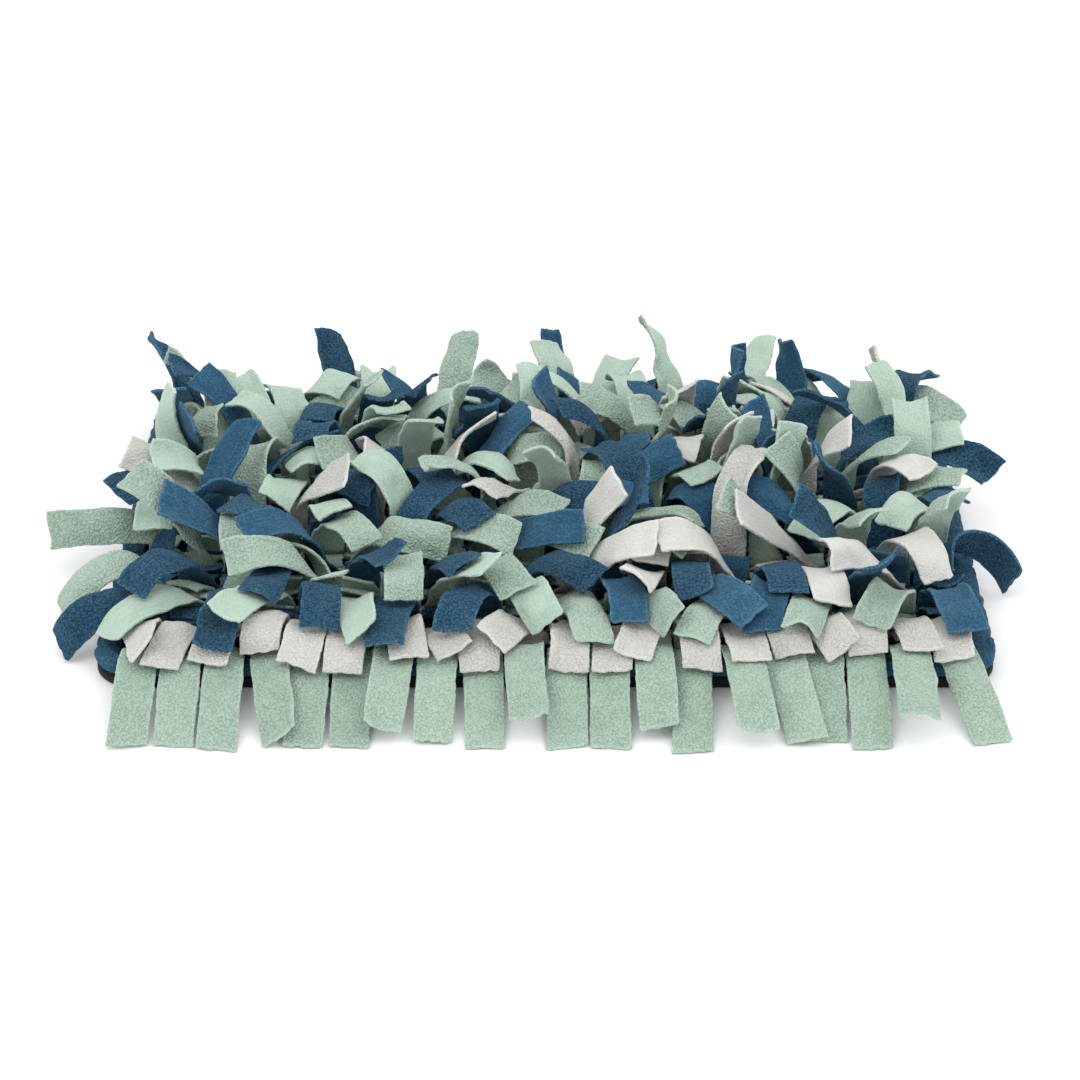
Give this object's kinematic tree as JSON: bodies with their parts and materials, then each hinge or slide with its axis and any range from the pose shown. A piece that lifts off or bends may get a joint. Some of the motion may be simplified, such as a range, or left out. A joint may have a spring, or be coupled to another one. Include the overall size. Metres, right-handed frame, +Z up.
{
  "type": "snuffle mat",
  "caption": "Rectangular snuffle mat: rows of slit fleece bands sewn to a dark backing with a bound edge, their loose strips lying in a tangle that hides treats for a pet to sniff out.",
  "frame": {"origin": "centre of the underside of the mat, where it rests on the floor", "axes": "+X along the long side to the right, +Y to the back edge, +Z up; the front edge faces -Y"},
  "size_m": [0.5693, 0.4434, 0.0941],
  "materials": {
    "sage_fleece": "matt fleece pile",
    "petrol_fleece": "matt fleece pile",
    "ivory_fleece": "matt fleece pile",
    "backing": "matt nonslip weave"
  },
  "bodies": {
    "root": {"band_01_1_sage": "sage_fleece", "band_01_2_sage": "sage_fleece", "band_01_3_sage": "sage_fleece", "band_01_4_sage": "sage_fleece", "band_02_1_ivory": "ivory_fleece", "band_02_2_ivory": "ivory_fleece", "band_02_3_ivory": "ivory_fleece", "band_02_4_ivory": "ivory_fleece", "band_03_1_petrol": "petrol_fleece", "band_03_2_sage": "sage_fleece", "band_03_3_sage": "sage_fleece", "band_03_4_petrol": "petrol_fleece", "band_04_1_sage": "sage_fleece", "band_04_2_petrol": "petrol_fleece", "band_04_3_ivory": "ivory_fleece", "band_04_4_petrol": "petrol_fleece", "band_05_1_petrol": "petrol_fleece", "band_05_2_sage": "sage_fleece", "band_05_3_ivory": "ivory_fleece", "band_05_4_sage": "sage_fleece", "band_06_1_sage": "sage_fleece", "band_06_2_petrol": "petrol_fleece", "band_06_3_petrol": "petrol_fleece", "band_06_4_sage": "sage_fleece", "band_07_1_sage": "sage_fleece", "band_07_2_ivory": "ivory_fleece", "band_07_3_sage": "sage_fleece", "band_07_4_petrol": "petrol_fleece", "band_08_1_petrol": "petrol_fleece", "band_08_2_sage": "sage_fleece", "band_08_3_ivory": "ivory_fleece", "band_08_4_sage": "sage_fleece", "band_09_1_sage": "sage_fleece", "band_09_2_sage": "sage_fleece", "band_09_3_sage": "sage_fleece", "band_09_4_petrol": "petrol_fleece", "band_10_1_petrol": "petrol_fleece", "band_10_2_sage": "sage_fleece", "band_10_3_petrol": "petrol_fleece", "band_10_4_sage": "sage_fleece", "band_11_1_sage": "sage_fleece", "band_11_2_petrol": "petrol_fleece", "band_11_3_sage": "sage_fleece", "band_11_4_ivory": "ivory_fleece", "band_12_1_petrol": "petrol_fleece", "band_12_2_sage": "sage_fleece", "band_12_3_sage": "sage_fleece", "band_12_4_petrol": "petrol_fleece", "band_13_1_petrol": "petrol_fleece", "band_13_2_sage": "sage_fleece", "band_13_3_petrol": "petrol_fleece", "band_13_4_sage": "sage_fleece", "base_mat": "backing", "edge_binding": "petrol_fleece"}
  },
  "joints": []
}
